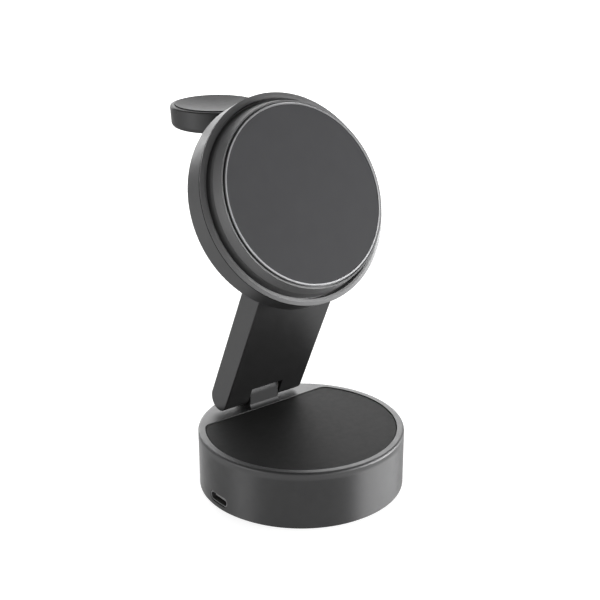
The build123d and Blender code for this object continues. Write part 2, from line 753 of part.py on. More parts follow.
# Trim ring: the bright ring round the phone pad
with BuildPart() as head_trim_ring:
    trim_plane = head_plane.offset(head_front - trim_height)
    extrude(ring_shape(trim_plane, trim_radius, phone_pad_radius + seat), amount=trim_height)
    ring_top = head_trim_ring.faces().sort_by(head_axis)[-1].edges().sort_by(SortBy.LENGTH)[-1]
    chamfer(ring_top, trim_edge)
head_trim_ring.part.label = "head_trim_ring"
export_step(head_trim_ring.part, "parts/head_trim_ring.step")

# Phone pad: a soft-touch disc glued on the front plate
with BuildPart() as phone_pad:
    with BuildSketch(head_plane.offset(pad_seat)):
        Circle(phone_pad_radius - seat)
    extrude(amount=phone_pad_thickness)
phone_pad.part.label = "phone_pad"
export_step(phone_pad.part, "parts/phone_pad.step")

# Phone coil, glued behind the front plate
with BuildPart() as phone_coil:
    winding = ring_shape(head_plane.offset(coil_back), phone_coil_radius, phone_coil_bore / 2)
    extrude(winding, amount=phone_coil_thickness)
phone_coil.part.label = "phone_coil"
export_step(phone_coil.part, "parts/phone_coil.step")

# Phone ferrite, behind the coil
with BuildPart() as phone_ferrite:
    with BuildSketch(head_plane.offset(ferrite_back)):
        Circle(phone_coil_radius + ferrite_margin)
    extrude(amount=ferrite_thickness)
phone_ferrite.part.label = "phone_ferrite"
export_step(phone_ferrite.part, "parts/phone_ferrite.step")

# Phone magnets: a ring of short arcs that holds the phone
with BuildPart() as phone_magnets:
    with BuildSketch(head_plane.offset(plate_back)):
        Circle(magnet_outer)
        Circle(magnet_inner, mode=Mode.SUBTRACT)
        with PolarLocations(magnet_outer, magnet_count):
            Rectangle(3 * magnet_ring_width, magnet_gap, mode=Mode.SUBTRACT)
    extrude(amount=-magnet_thickness)
phone_magnets.part.label = "phone_magnets"
export_step(phone_magnets.part, "parts/phone_magnets.step")

# Magnet shunt: the steel ring behind the magnets
with BuildPart() as magnet_shunt:
    shunt_plane = head_plane.offset(plate_back - magnet_thickness)
    extrude(ring_shape(shunt_plane, magnet_outer, magnet_inner), amount=-shunt_thickness)
magnet_shunt.part.label = "magnet_shunt"
export_step(magnet_shunt.part, "parts/magnet_shunt.step")

# Head circuit board, glued on the pocket's floor
with BuildPart() as head_circuit_board:
    with BuildSketch(head_plane.offset(pocket_back)):
        Circle(pocket_radius + pocket_wall - head_board_inset)
    extrude(amount=board_thickness)
head_circuit_board.part.label = "head_circuit_board"
export_step(head_circuit_board.part, "parts/head_circuit_board.step")

# Watch hinge pin, fixed in the ears of the pocket
with BuildPart() as watch_hinge_pin:
    with BuildSketch(Plane(origin=watch_axis, z_dir=right)):
        Circle(watch_pin_radius)
    extrude(amount=slot_width / 2 + ear_thickness, both=True)
watch_hinge_pin.part.label = "watch_hinge_pin"
export_step(watch_hinge_pin.part, "parts/watch_hinge_pin.step")

# Puck housing: a tapered cup with the tongue that reaches its hinge
with BuildPart() as puck_housing:
    with BuildSketch(puck_section):
        with BuildLine():
            Polyline(
                (0, 0),
                (puck_radius - puck_taper, 0),
                (puck_radius, puck_thickness),
                (0, puck_thickness),
                close=True,
            )
        make_face()
    revolve(axis=puck_axis)
    rims = puck_housing.edges().filter_by(GeomType.CIRCLE).sort_by(Axis.Z)
    fillet(rims[0], puck_round)
    fillet(rims[-1], puck_rim_round)
    tongue_height = puck_thickness - tongue_rise
    with BuildSketch(puck_side):
        with Locations((-watch_reach, tongue_height)):
            Circle(tongue_half)
        with Locations((-(watch_reach + dish_bore) / 2, tongue_height)):
            Rectangle(watch_reach - dish_bore, tongue_thickness)
    extrude(amount=tongue_width / 2, both=True)
    with BuildSketch(puck_plane.offset(puck_thickness)):
        Circle(dish_bore)
    extrude(amount=-dish_gap_depth, mode=Mode.SUBTRACT)
    with BuildSketch(puck_plane.offset(puck_thickness)):
        Circle(dish_radius + seat)
    extrude(amount=dish_bottom - puck_thickness, mode=Mode.SUBTRACT)
    with BuildSketch(puck_plane.offset(puck_floor)):
        Circle(puck_inner_radius)
    extrude(amount=puck_thickness - puck_floor, mode=Mode.SUBTRACT)
    with BuildSketch(Plane(origin=watch_axis, z_dir=right)):
        Circle(watch_pin_radius + running)
    extrude(amount=tongue_width, both=True, mode=Mode.SUBTRACT)
    light_side = Plane(origin=puck_top - Vector(0, 0, light_drop), z_dir=-right)
    with BuildSketch(light_side.offset(dish_bore)):
        Circle(light_radius + seat)
    extrude(amount=2 * puck_rim, mode=Mode.SUBTRACT)
puck_housing.part.label = "puck_housing"
export_step(puck_housing.part, "parts/puck_housing.step")

# Puck dish: the hollowed face on which the watch lies, a little proud of the rim
with BuildPart() as puck_dish:
    with BuildSketch(puck_section):
        with BuildLine():
            Polyline(
                (0, dish_middle),
                (0, dish_bottom),
                (dish_radius, dish_bottom),
                (dish_radius, dish_edge),
            )
            TangentArc((0, dish_middle), (dish_radius, dish_edge), tangent=(1, 0))
        make_face()
    revolve(axis=puck_axis)
puck_dish.part.label = "puck_dish"
export_step(puck_dish.part, "parts/puck_dish.step")

# Watch coil, glued under the dish
with BuildPart() as watch_coil:
    dish_back = puck_plane.offset(dish_bottom)
    winding = ring_shape(dish_back, watch_coil_radius, magnet_hole)
    extrude(winding, amount=-watch_coil_thickness)
watch_coil.part.label = "watch_coil"
export_step(watch_coil.part, "parts/watch_coil.step")

# Watch ferrite, under the coil and round the magnet
with BuildPart() as watch_ferrite:
    under_coil = puck_plane.offset(dish_bottom - watch_coil_thickness)
    sheet = ring_shape(under_coil, watch_coil_radius + slip, magnet_hole)
    extrude(sheet, amount=-ferrite_thickness)
watch_ferrite.part.label = "watch_ferrite"
export_step(watch_ferrite.part, "parts/watch_ferrite.step")

# Watch magnet, in the middle of the coil
with BuildPart() as watch_magnet:
    with BuildSketch(puck_plane.offset(dish_bottom)):
        Circle(watch_magnet_diameter / 2)
    extrude(amount=-watch_magnet_height)
watch_magnet.part.label = "watch_magnet"
export_step(watch_magnet.part, "parts/watch_magnet.step")

# Watch circuit board, on the puck's floor
with BuildPart() as watch_circuit_board:
    with BuildSketch(puck_plane.offset(puck_floor)):
        Circle(puck_inner_radius - watch_board_gap)
    extrude(amount=watch_board_thickness)
watch_circuit_board.part.label = "watch_circuit_board"
export_step(watch_circuit_board.part, "parts/watch_circuit_board.step")

# Indicator light: a clear pin in the puck's wall
with BuildPart() as indicator_light:
    with BuildSketch(light_side.offset(dish_bore + slip)):
        Circle(light_radius)
    extrude(amount=puck_rim - 2 * slip)
indicator_light.part.label = "indicator_light"
export_step(indicator_light.part, "parts/indicator_light.step")
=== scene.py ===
"""Three-in-one wireless charger: the finish of every piece, its windings, screws and
board parts, the studio and the camera.

Lengths are metres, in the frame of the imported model: +Z up, -Y the front, +X the right.
"""

import bpy
import json
from math import cos, pi, radians, sin
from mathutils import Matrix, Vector


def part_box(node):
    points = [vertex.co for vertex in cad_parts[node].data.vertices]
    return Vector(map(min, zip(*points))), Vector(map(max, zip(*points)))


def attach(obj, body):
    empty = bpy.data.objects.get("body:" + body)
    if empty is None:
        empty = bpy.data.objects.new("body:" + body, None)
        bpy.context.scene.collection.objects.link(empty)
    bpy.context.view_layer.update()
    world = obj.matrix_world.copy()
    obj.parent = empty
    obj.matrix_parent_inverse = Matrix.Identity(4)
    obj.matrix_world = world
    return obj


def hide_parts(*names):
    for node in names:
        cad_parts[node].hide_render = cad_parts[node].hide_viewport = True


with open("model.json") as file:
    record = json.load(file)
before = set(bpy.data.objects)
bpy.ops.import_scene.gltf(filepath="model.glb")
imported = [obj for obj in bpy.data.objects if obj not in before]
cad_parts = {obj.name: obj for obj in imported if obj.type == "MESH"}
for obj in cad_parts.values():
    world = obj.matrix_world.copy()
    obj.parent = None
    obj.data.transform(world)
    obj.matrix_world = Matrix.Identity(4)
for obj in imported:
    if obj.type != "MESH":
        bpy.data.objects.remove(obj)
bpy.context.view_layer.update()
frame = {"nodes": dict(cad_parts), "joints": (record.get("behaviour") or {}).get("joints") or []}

# Base shell: the cup that holds everything in the base. It is turned from aluminium,
# blasted with fine glass beads and anodised dark grey. Its wall keeps the look of turned
# metal, with reflections that are drawn out up and down.

mm = 0.001
nodes = frame["nodes"]
bead_mark = 0.11 * mm
bead_dent = 0.0025 * mm
polish_cloud = 9 * mm
cloud_tone = 0.04
cloud_roughness = 0.02
blue_cast = 0.01
worn_edge = 0.06 * mm
soft_edge_tint = (0.55, 0.55, 0.55, 1)
full_edge_tint = (1, 1, 1, 1)
shell_tone = 0.066
shell_roughness = 0.50
shell_wall_end = 17.4 * mm
shell_rim_start = 18.4 * mm
shell_stretch = 0.85
quarter_turn = 0.25


def new_finish(name, metallic=0.0):
    """Starts a finish and gives its node tree and its shader."""
    finish = bpy.data.materials.new(name)
    finish.use_nodes = True
    shader = finish.node_tree.nodes["Principled BSDF"]
    shader.inputs["Metallic"].default_value = metallic
    return finish, finish.node_tree, shader


def place_on(tree):
    """Gives each point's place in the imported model, which doesn't change when a hinge turns."""
    return tree.nodes.new("ShaderNodeTexCoord").outputs["Object"]


def lumps(tree, size, detail=2):
    """Gives a noise with lumps of one size, fixed to the piece."""
    noise = tree.nodes.new("ShaderNodeTexNoise")
    noise.inputs["Scale"].default_value = 1 / size
    noise.inputs["Detail"].default_value = detail
    tree.links.new(place_on(tree), noise.inputs["Vector"])
    return noise.outputs["Fac"]


def ramp(tree, value, start, end, first, last):
    """Runs from first to last while a value runs from start to end."""
    spread = tree.nodes.new("ShaderNodeMapRange")
    spread.inputs["From Min"].default_value = start
    spread.inputs["From Max"].default_value = end
    spread.inputs["To Min"].default_value = first
    spread.inputs["To Max"].default_value = last
    tree.links.new(value, spread.inputs["Value"])
    return spread.outputs["Result"]


def vary_shine(tree, shader, pattern, smooth, rough):
    """Lets the surface run from smooth to rough over the middle of a pattern's range."""
    tree.links.new(ramp(tree, pattern, 0.3, 0.7, smooth, rough), shader.inputs["Roughness"])


def vary_colour(tree, shader, pattern, first, second):
    """Lets the colour run from the first to the second with a pattern."""
    mix = tree.nodes.new("ShaderNodeMix")
    mix.data_type = "RGBA"
    mix.inputs["A"].default_value = first
    mix.inputs["B"].default_value = second
    tree.links.new(pattern, mix.inputs["Factor"])
    tree.links.new(mix.outputs["Result"], shader.inputs["Base Color"])


def press_grain(tree, shader, pattern, depth, edge=0.0):
    """Presses a pattern into the surface, over edges that are softened by a small round."""
    bump = tree.nodes.new("ShaderNodeBump")
    bump.inputs["Distance"].default_value = depth
    tree.links.new(pattern, bump.inputs["Height"])
    if edge:
        rounded = tree.nodes.new("ShaderNodeBevel")
        rounded.inputs["Radius"].default_value = edge
        tree.links.new(rounded.outputs["Normal"], bump.inputs["Normal"])
    tree.links.new(bump.outputs["Normal"], shader.inputs["Normal"])


def anodised(name, tone, roughness, metallic=0.9, edge_tint=soft_edge_tint):
    """Builds blasted and anodised aluminium, with a softly clouded tone and shine."""
    finish, tree, shader = new_finish(name, metallic)
    shader.inputs["Specular Tint"].default_value = edge_tint
    darker = tone * (1 - cloud_tone)
    paler = tone * (1 + cloud_tone)
    dark = (darker, darker, darker + blue_cast * tone, 1)
    pale = (paler, paler, paler + blue_cast * tone, 1)
    smooth = roughness - cloud_roughness
    rough = roughness + cloud_roughness
    vary_colour(tree, shader, lumps(tree, polish_cloud), dark, pale)
    vary_shine(tree, shader, lumps(tree, polish_cloud / 3), smooth, rough)
    press_grain(tree, shader, lumps(tree, bead_mark), bead_dent, worn_edge)
    return finish


def turned_wall(finish, stretch, wall_end, rim_start):
    """Draws reflections out along a round wall's height, and leaves its rim as it is."""
    tree = finish.node_tree
    shader = tree.nodes["Principled BSDF"]
    shader.inputs["Anisotropic Rotation"].default_value = quarter_turn
    round_shell = tree.nodes.new("ShaderNodeTangent")
    round_shell.direction_type = "RADIAL"
    round_shell.axis = "Z"
    tree.links.new(round_shell.outputs["Tangent"], shader.inputs["Tangent"])
    apart = tree.nodes.new("ShaderNodeSeparateXYZ")
    tree.links.new(place_on(tree), apart.inputs["Vector"])
    on_wall = ramp(tree, apart.outputs["Z"], wall_end, rim_start, stretch, 0.0)
    tree.links.new(on_wall, shader.inputs["Anisotropic"])


def dress(finish, *names):
    """Gives CAD nodes a finish."""
    for name in names:
        nodes[name].data.materials.clear()
        nodes[name].data.materials.append(finish)


shell_casing = anodised("anodised_turned_casing", shell_tone, shell_roughness, edge_tint=full_edge_tint)
turned_wall(shell_casing, shell_stretch, shell_wall_end, shell_rim_start)
dress(shell_casing, "base_shell")

# Base hinge: a lug on the shell's rim, anodised darker than the shell, with a nylon
# bearing in its eye. A steel clamp plate and two black socket screws hold it from inside.

lug_tone = 0.033
lug_roughness = 0.56
nylon_dark = (0.52, 0.51, 0.47, 1)
nylon_pale = (0.60, 0.59, 0.55, 1)
steel_dark = (0.50, 0.50, 0.51, 1)
steel_pale = (0.57, 0.57, 0.58, 1)
zinc_dark = (0.05, 0.05, 0.053, 1)
zinc_pale = (0.08, 0.08, 0.083, 1)
up = Vector((0, 0, 1))
hinge_screw_spacing = 5.2 * mm
hinge_screw = {
    "head_radius": 1.5 * mm,
    "head_height": 1.0 * mm,
    "radius": 0.8 * mm,
    "length": 2.85 * mm,
    "pitch": 0.4 * mm,
}


def moulded(name, first, second, roughness):
    """Builds a moulded plastic or rubber with a fine spark-eroded texture."""
    finish, tree, shader = new_finish(name)
    shader.inputs["Specular IOR Level"].default_value = 0.4
    vary_colour(tree, shader, lumps(tree, size=4 * mm), first, second)
    vary_shine(tree, shader, lumps(tree, size=1 * mm), roughness - 0.04, roughness + 0.04)
    press_grain(tree, shader, lumps(tree, size=0.12 * mm), depth=0.006 * mm)
    return finish


def bare_metal(name, first, second, smooth, rough):
    """Builds bare or plated metal with fine tool marks."""
    finish, tree, shader = new_finish(name, metallic=1.0)
    vary_colour(tree, shader, lumps(tree, size=3 * mm), first, second)
    vary_shine(tree, shader, lumps(tree, size=0.6 * mm), smooth, rough)
    press_grain(tree, shader, lumps(tree, size=0.08 * mm), depth=0.003 * mm)
    return finish


def piece(name, corners, faces, finish, body, smooth=False):
    """Makes one mesh piece in its finish and fixes it to a CAD body."""
    mesh = bpy.data.meshes.new(name)
    mesh.from_pydata(corners, [], faces)
    mesh.update()
    if smooth:
        mesh.shade_smooth()
    else:
        mesh.shade_flat()
    mesh.materials.append(finish)
    made = bpy.data.objects.new(name, mesh)
    bpy.context.scene.collection.objects.link(made)
    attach(made, body)
    return made


def add_screw(corners, faces, top, way, head_radius, head_height, radius, length, pitch):
    """Adds a socket screw: a chamfered head with a hexagonal socket, and a threaded shank."""
    lean = way.to_track_quat("Z", "Y")
    sides = 24
    rings_a_turn = 6
    socket_radius = 0.5 * head_radius
    socket_depth = 0.6 * head_height
    chamfer = 0.1 * head_radius
    thread_depth = 0.36 * pitch
    rings = [
        ("hexagon", socket_radius, socket_depth),
        ("hexagon", socket_radius, 0.0),
        ("round", head_radius - chamfer, 0.0),
        ("round", head_radius, chamfer),
        ("round", head_radius, head_height),
    ]
    steps = int(length / pitch * rings_a_turn)
    for step in range(steps + 1):
        rings.append(("thread", radius, head_height + length * step / steps))
    first = len(corners)
    for kind, reach, depth in rings:
        for side in range(sides):
            angle = 2 * pi * side / sides
            r = reach
            if kind == "hexagon":
                r = reach / cos((angle + pi / 6) % (pi / 3) - pi / 6)
            if kind == "thread":
                along = (depth / pitch - side / sides) % 1.0
                r = reach - thread_depth * abs(2 * along - 1)
            corners.append(top + lean @ Vector((r * cos(angle), r * sin(angle), depth)))
    for ring in range(len(rings) - 1):
        for side in range(sides):
            here = first + ring * sides + side
            after = first + ring * sides + (side + 1) % sides
            faces.append((here, after, after + sides, here + sides))
    tip = first + (len(rings) - 1) * sides
    faces.append([first + side for side in range(sides)][::-1])
    faces.append([tip + side for side in range(sides)])


def screws(name, body, node, tops, way, size):
    """Makes a set of like screws in place of a CAD node, each going its way from its top."""
    corners, faces = [], []
    for top in tops:
        add_screw(corners, faces, top, way, **size)
    made = piece(name, corners, faces, black_zinc, body)
    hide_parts(node)


def pair_round(middle):
    """Gives the tops of a lug's two screws, left and right of their middle."""
    return [middle + Vector((x, 0, 0)) for x in (-hinge_screw_spacing / 2, hinge_screw_spacing / 2)]


lug_casing = anodised("anodised_lug", lug_tone, lug_roughness)
nylon = moulded("natural_nylon", nylon_dark, nylon_pale, roughness=0.4)
steel = bare_metal("turned_steel", steel_dark, steel_pale, smooth=0.26, rough=0.36)
black_zinc = bare_metal("black_zinc", zinc_dark, zinc_pale, smooth=0.3, rough=0.42)
dress(lug_casing, "base_hinge_lug")
dress(nylon, "base_hinge_sleeve")
dress(steel, "base_hinge_clamp")
lowest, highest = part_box("base_hinge_screws")
base_pair = pair_round(Vector((0, (lowest.y + highest.y) / 2, lowest.z)))
screws("base_lug_screws", "base", "base_hinge_screws", base_pair, up, hinge_screw)

# Earbud coil and ferrite: a flat winding of enamelled copper glued under the pad, and the
# grey sintered sheet below it. The winding is a real spiral, one turn beside the other.

copper_dark = (0.60, 0.24, 0.10, 1)
copper_pale = (0.70, 0.30, 0.14, 1)
ferrite_dark = (0.035, 0.035, 0.038, 1)
ferrite_pale = (0.060, 0.060, 0.064, 1)


def enamelled_copper(name):
    """Builds copper wire under clear enamel."""
    finish, tree, shader = new_finish(name, metallic=0.9)
    shader.inputs["Coat Weight"].default_value = 0.6
    vary_colour(tree, shader, lumps(tree, size=1.5 * mm), copper_dark, copper_pale)
    vary_shine(tree, shader, lumps(tree, size=0.4 * mm), smooth=0.24, rough=0.34)
    press_grain(tree, shader, lumps(tree, size=0.2 * mm), depth=0.004 * mm)
    return finish


def sintered_sheet(name):
    """Builds a dull grey ferrite sheet with a coarse grain."""
    finish, tree, shader = new_finish(name)
    vary_colour(tree, shader, lumps(tree, size=0.5 * mm), ferrite_dark, ferrite_pale)
    vary_shine(tree, shader, lumps(tree, size=0.8 * mm), smooth=0.55, rough=0.7)
    press_grain(tree, shader, lumps(tree, size=0.15 * mm), depth=0.01 * mm)
    return finish


def winding(name, body, node, axis, bore, radius, height):
    """Winds a flat spiral of wire from the bore out to the radius, in place of a CAD node."""
    lowest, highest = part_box(node)
    centre = (lowest + highest) / 2
    lean = axis.to_track_quat("Z", "Y")
    turns = int((radius - bore) / height) - 1
    pitch = (radius - bore) / (turns + 1)
    steps_a_turn = 72
    sides = 10
    steps = turns * steps_a_turn
    corners = []
    for step in range(steps + 1):
        angle = 2 * pi * step / steps_a_turn
        middle = bore + pitch / 2 + pitch * step / steps_a_turn
        for side in range(sides):
            turned = 2 * pi * side / sides
            reach = middle + pitch / 2 * cos(turned)
            rise = height / 2 * sin(turned)
            corners.append(centre + lean @ Vector((reach * cos(angle), reach * sin(angle), rise)))
    faces = [list(range(sides)), list(range(steps * sides, (steps + 1) * sides))[::-1]]
    for step in range(steps):
        for side in range(sides):
            here = step * sides + side
            after = step * sides + (side + 1) % sides
            faces.append((here, here + sides, after + sides, after))
    wound = piece(name, corners, faces, copper, body, smooth=True)
    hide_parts(node)


copper = enamelled_copper("enamelled_copper")
ferrite = sintered_sheet("sintered_ferrite")
winding(
    "earbud_winding", "base", "earbud_coil",
    axis=up, bore=7.5 * mm, radius=21.05 * mm, height=1.2 * mm,
)
dress(ferrite, "earbud_ferrite")

# Earbud pad: a D-shaped plate of dark soft-touch plastic, laid in the shell's recess.
# Its skin is matt with a fine even texture that only shows from close by.

base_pad_dark = (0.0165, 0.0165, 0.0165, 1)
base_pad_pale = (0.0195, 0.0195, 0.0195, 1)
skin_pore = 0.16 * mm


def soft_touch(name, first, second):
    """Builds a matt soft-touch skin with fine pores."""
    finish, tree, shader = new_finish(name)
    shader.inputs["Specular IOR Level"].default_value = 0.05
    vary_colour(tree, shader, lumps(tree, size=6 * mm), first, second)
    vary_shine(tree, shader, lumps(tree, size=2 * mm), smooth=0.56, rough=0.62)
    press_grain(tree, shader, lumps(tree, skin_pore, detail=3), depth=0.006 * mm)
    return finish


dress(soft_touch("soft_touch_base", base_pad_dark, base_pad_pale), "earbud_pad")

# Base weight: a thick steel disc with a plain turned face. It keeps the charger from
# tipping when a phone hangs high on the head.

dress(steel, "base_weight")

# Base circuit board: glass-fibre board under green solder mask, held on the cover's
# pegs. Its tracks show through the mask, and black chips, grey inductors and two rows of
# tan capacitors are soldered on top.

mask_dark = (0.008, 0.055, 0.024, 1)
mask_pale = (0.010, 0.065, 0.028, 1)
mask_track = (0.022, 0.120, 0.055, 1)
black_dark = (0.018, 0.018, 0.018, 1)
black_pale = (0.023, 0.023, 0.023, 1)
ceramic_dark = (0.30, 0.21, 0.13, 1)
ceramic_pale = (0.36, 0.26, 0.17, 1)
capacitor_size = (0.8, 1.6, 0.8)
capacitor_spacing = 1.4
solder_seat = 0.01 * mm
board_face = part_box("base_circuit_board")[1].z - solder_seat


def solder_mask(name):
    """Builds green solder mask over etched tracks."""
    finish, tree, shader = new_finish(name)
    tracks = tree.nodes.new("ShaderNodeTexBrick")
    tracks.inputs["Scale"].default_value = 1 / (2.4 * mm)
    tracks.inputs["Mortar Size"].default_value = 0.05
    tracks.inputs["Color1"].default_value = mask_dark
    tracks.inputs["Color2"].default_value = mask_pale
    tracks.inputs["Mortar"].default_value = mask_track
    tree.links.new(place_on(tree), tracks.inputs["Vector"])
    tree.links.new(tracks.outputs["Color"], shader.inputs["Base Color"])
    vary_shine(tree, shader, lumps(tree, size=2 * mm), smooth=0.22, rough=0.34)
    press_grain(tree, shader, tracks.outputs["Fac"], depth=0.02 * mm)
    return finish


def block(x, y, length, width, height):
    """Gives the middle and the size of a part on the base board, from millimetres."""
    return (x * mm, y * mm), (length * mm, width * mm, height * mm)


def capacitor_row(x, y, count):
    """Gives a row of like capacitors that starts at x and y, from millimetres."""
    return [block(x + capacitor_spacing * place, y, *capacitor_size) for place in range(count)]


def add_block(corners, faces, middle, size, chamfer):
    """Adds a block that stands on the base board, with a chamfer round its top."""
    first = len(corners)
    length, width, height = size
    for rise, less in ((0.0, 0.0), (height - chamfer, 0.0), (height, chamfer)):
        for x, y in ((-1, -1), (1, -1), (1, 1), (-1, 1)):
            reach_x = x * (length / 2 - less)
            reach_y = y * (width / 2 - less)
            corners.append((middle[0] + reach_x, middle[1] + reach_y, board_face + rise))
    for ring in (0, 4):
        for side in range(4):
            here = first + ring + side
            after = first + ring + (side + 1) % 4
            faces.append((here, after, after + 4, here + 4))
    faces.append(tuple(first + corner for corner in (3, 2, 1, 0)))
    faces.append(tuple(first + corner for corner in (8, 9, 10, 11)))


def board_parts(name, blocks, finish, chamfer):
    """Makes a set of like parts that are soldered on the base board."""
    corners, faces = [], []
    for middle, size in blocks:
        add_block(corners, faces, middle, size, chamfer)
    piece(name, corners, faces, finish, "base")


chips = [
    block(-17.0, 3.0, 5.0, 5.0, 0.9),
    block(-8.5, -3.5, 4.0, 4.0, 0.8),
    block(-16.5, -4.5, 3.0, 1.6, 1.1),
    block(-3.5, 4.5, 2.9, 1.6, 1.1),
]
inductors = [block(-9.5, 4.5, 4.0, 4.0, 2.0), block(-21.5, -4.0, 3.0, 3.0, 1.5)]
capacitors = capacitor_row(-13.0, -8.0, 6) + capacitor_row(-20.5, 7.6, 5)
mask = solder_mask("green_solder_mask")
dark_plastic = moulded("moulded_dark", black_dark, black_pale, roughness=0.5)
ceramic = moulded("tan_ceramic", ceramic_dark, ceramic_pale, roughness=0.4)
dress(mask, "base_circuit_board")
board_parts("board_chips", chips, dark_plastic, chamfer=0.12 * mm)
board_parts("board_inductors", inductors, ferrite, chamfer=0.4 * mm)
board_parts("board_capacitors", capacitors, ceramic, chamfer=0.06 * mm)

# USB-C socket: a folded and plated steel tube in the left wall, soldered to the board,
# and inside it the grey plastic tongue with a row of gold contacts on either face. The
# plating is painted darker than bare nickel, as painted shade round the slot's mouth.

# The plating's greys are painted dark, as painted shade round the socket's slot.
shaded_plate_dark = (0.18, 0.18, 0.183, 1)
shaded_plate_pale = (0.22, 0.22, 0.223, 1)
tongue_dark = (0.20, 0.20, 0.20, 1)
tongue_pale = (0.24, 0.24, 0.24, 1)
gold_dark = (0.80, 0.55, 0.20, 1)
gold_pale = (0.86, 0.60, 0.25, 1)
tongue_half_thickness = 0.35 * mm
contacts_a_row = 12
contact_spacing = 0.5 * mm
contact_half_width = 0.13 * mm
contact_rise = 0.03 * mm
contact_back = -28.0 * mm
contact_bend = 0.55 * mm
contact_nose = 0.35 * mm


def contact_rows(name):
    """Lays a row of contacts on each face of the tongue, with their front ends bent down."""
    lowest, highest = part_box("usb_tongue")
    middle = (lowest.z + highest.z) / 2
    outline = (
        (contact_back, contact_rise),
        (lowest.x + contact_bend, contact_rise),
        (lowest.x + contact_nose, 0.0),
        (contact_back, 0.0),
    )
    corners, faces = [], []
    for side in (-1, 1):
        for place in range(contacts_a_row):
            y = (place - (contacts_a_row - 1) / 2) * contact_spacing
            first = len(corners)
            for edge in (-contact_half_width, contact_half_width):
                for x, rise in outline:
                    z = middle + side * (tongue_half_thickness + rise)
                    corners.append((x, y + edge, z))
            faces.append(tuple(first + corner for corner in (0, 1, 2, 3)))
            faces.append(tuple(first + corner for corner in (7, 6, 5, 4)))
            for here in range(4):
                after = (here + 1) % 4
                faces.append(tuple(first + corner for corner in (here, here + 4, after + 4, after)))
    piece(name, corners, faces, gold, "base")


shaded_plating = bare_metal("nickel_plate_painted_dark", shaded_plate_dark, shaded_plate_pale, smooth=0.48, rough=0.54)
grey_plastic = moulded("moulded_grey", tongue_dark, tongue_pale, roughness=0.5)
gold = bare_metal("gold_plate", gold_dark, gold_pale, smooth=0.2, rough=0.28)
dress(shaded_plating, "usb_socket")
dress(grey_plastic, "usb_tongue")
contact_rows("usb_contacts")

# Bottom cover: a moulded black lid that closes the shell from below and carries the
# board on its pegs.

dress(dark_plastic, "bottom_cover")

# Bottom screws: three black socket screws under the foot, through the cover's posts and
# the weight into the shell's towers.

tower_reach = 28.6 * mm
tower_turns = (radians(30), radians(150), radians(270))
tower_screw = {
    "head_radius": 1.7 * mm,
    "head_height": 1.0 * mm,
    "radius": 1.0 * mm,
    "length": 13.4 * mm,
    "pitch": 0.5 * mm,
}
screw_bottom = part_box("bottom_screws")[0].z
towers = [Vector((tower_reach * cos(turn), tower_reach * sin(turn), screw_bottom)) for turn in tower_turns]
screws("tower_screws", "base", "bottom_screws", towers, up, tower_screw)

# Rubber foot: a dull black disc glued in the cover's recess, over the screws. The charger
# stands on it without sliding.

rubber_dark = (0.014, 0.014, 0.014, 1)
rubber_pale = (0.020, 0.020, 0.020, 1)
rubber = moulded("foot_rubber", rubber_dark, rubber_pale, roughness=0.8)
dress(rubber, "rubber_foot")

# Arm: a milled aluminium bar with round ends, anodised like the casings, the plate that
# closes its hollow back, and the amber flat cable with copper tracks that runs inside it.

arm_tone = 0.072
arm_roughness = 0.36
film_dark = (0.36, 0.14, 0.02, 1)
film_pale = (0.52, 0.22, 0.05, 1)
track_half_spacing = 0.4 * mm
track_edge_start = 0.18 * mm
track_edge_end = 0.22 * mm


def printed_cable(name):
    """Builds amber film with copper tracks that run along the cable, across its X."""
    finish, tree, shader = new_finish(name)
    apart = tree.nodes.new("ShaderNodeSeparateXYZ")
    tree.links.new(place_on(tree), apart.inputs["Vector"])
    stripe = tree.nodes.new("ShaderNodeMath")
    stripe.operation = "PINGPONG"
    stripe.inputs[1].default_value = track_half_spacing
    tree.links.new(apart.outputs["X"], stripe.inputs[0])
    tracks = ramp(tree, stripe.outputs["Value"], track_edge_start, track_edge_end, 0.0, 1.0)
    vary_colour(tree, shader, tracks, film_dark, film_pale)
    vary_shine(tree, shader, lumps(tree, size=1 * mm), smooth=0.25, rough=0.35)
    return finish


arm_casing = anodised("anodised_arm", arm_tone, arm_roughness)
dress(arm_casing, "arm_shell", "arm_cover")
dress(printed_cable("amber_film"), "arm_cable")

# Hinge shafts, washers and plugs: ground steel shafts that are pushed in from the right,
# nylon friction washers beside the lugs, and the anodised plugs that close the holes.

dress(steel, "lower_hinge_shaft", "upper_hinge_shaft")
dress(nylon, "lower_hinge_washers", "upper_hinge_washers")
dress(arm_casing, "shaft_plugs")

# Head housings: a cup at the back and, in front, the stepped disc with its cove and ring,
# both turned from aluminium and anodised. The front is finer turned, with reflections that
# are drawn out across its marks, and the two meet at a parting line. The back's last edge
# before that line is painted dark, as painted shade in the joint.

head_tilt = radians(26.2)
head_out = Vector((0, -cos(head_tilt), sin(head_tilt)))
head_up = Vector((0, sin(head_tilt), cos(head_tilt)))
hinge_below_middle = 24.0 * mm
hinge_behind_head = 5.2 * mm
hinges = {joint["name"]: Vector(joint["pos_m"]) for joint in frame["joints"]}
head_foot = hinges["head_hinge"] + hinge_behind_head * head_out
head_middle = head_foot + hinge_below_middle * head_up
back_tone = 0.086
front_tone = 0.125
head_roughness = 0.44
front_stretch = 0.7
# The parting line's height, and the band of painted shade on the back housing below it.
parting_height = 7.7 * mm
parting_shade_width = 0.22 * mm
parting_shade_blur = 0.10 * mm
parting_shade_colour = (0.006, 0.006, 0.006, 1)


def work_out(tree, operation, first, second=(0, 0, 0)):
    """Works out a vector or a number from each point's vector and a fixed one."""
    step = tree.nodes.new("ShaderNodeVectorMath")
    step.operation = operation
    step.inputs[1].default_value = second
    tree.links.new(first, step.inputs[0])
    return step


def from_head_middle(tree):
    """Gives each point's way from the middle of the head's back."""
    return work_out(tree, "SUBTRACT", place_on(tree), head_middle).outputs["Vector"]


